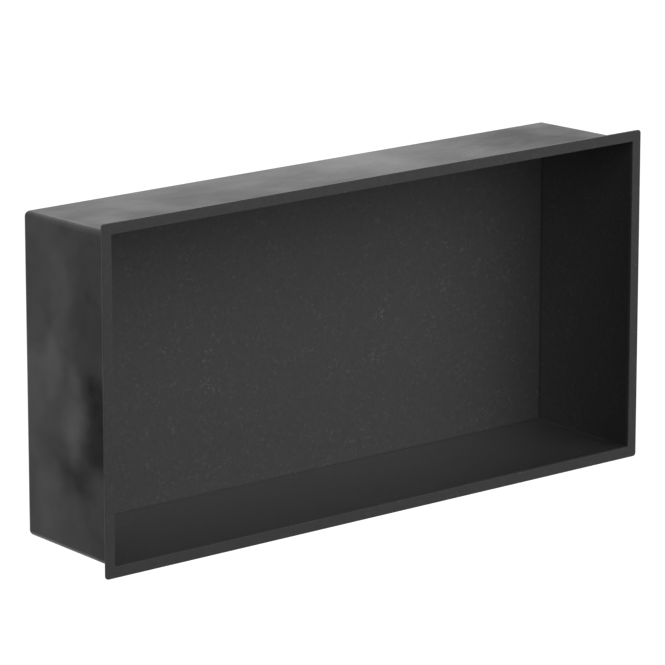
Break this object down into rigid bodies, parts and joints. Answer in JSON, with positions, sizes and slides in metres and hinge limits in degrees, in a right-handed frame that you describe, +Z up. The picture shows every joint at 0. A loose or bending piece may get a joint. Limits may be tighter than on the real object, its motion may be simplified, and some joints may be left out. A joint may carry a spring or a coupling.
{
  "type": "shower niche insert",
  "caption": "Recessed shower niche: an open rectangular box with a flat flange round its mouth, set into a wall cut-out to hold bottles and soap.",
  "frame": {"origin": "centre of the flange's back face, which lies on the finished wall", "axes": "+X to the right as the niche is seen from the room, +Y into the wall, +Z up"},
  "size_m": [0.62, 0.1255, 0.311],
  "materials": {
    "coated_sheet": "matt black coat with a fine grain, on folded and welded sheet metal"
  },
  "bodies": {
    "root": {"niche_insert": "coated_sheet"}
  },
  "joints": []
}
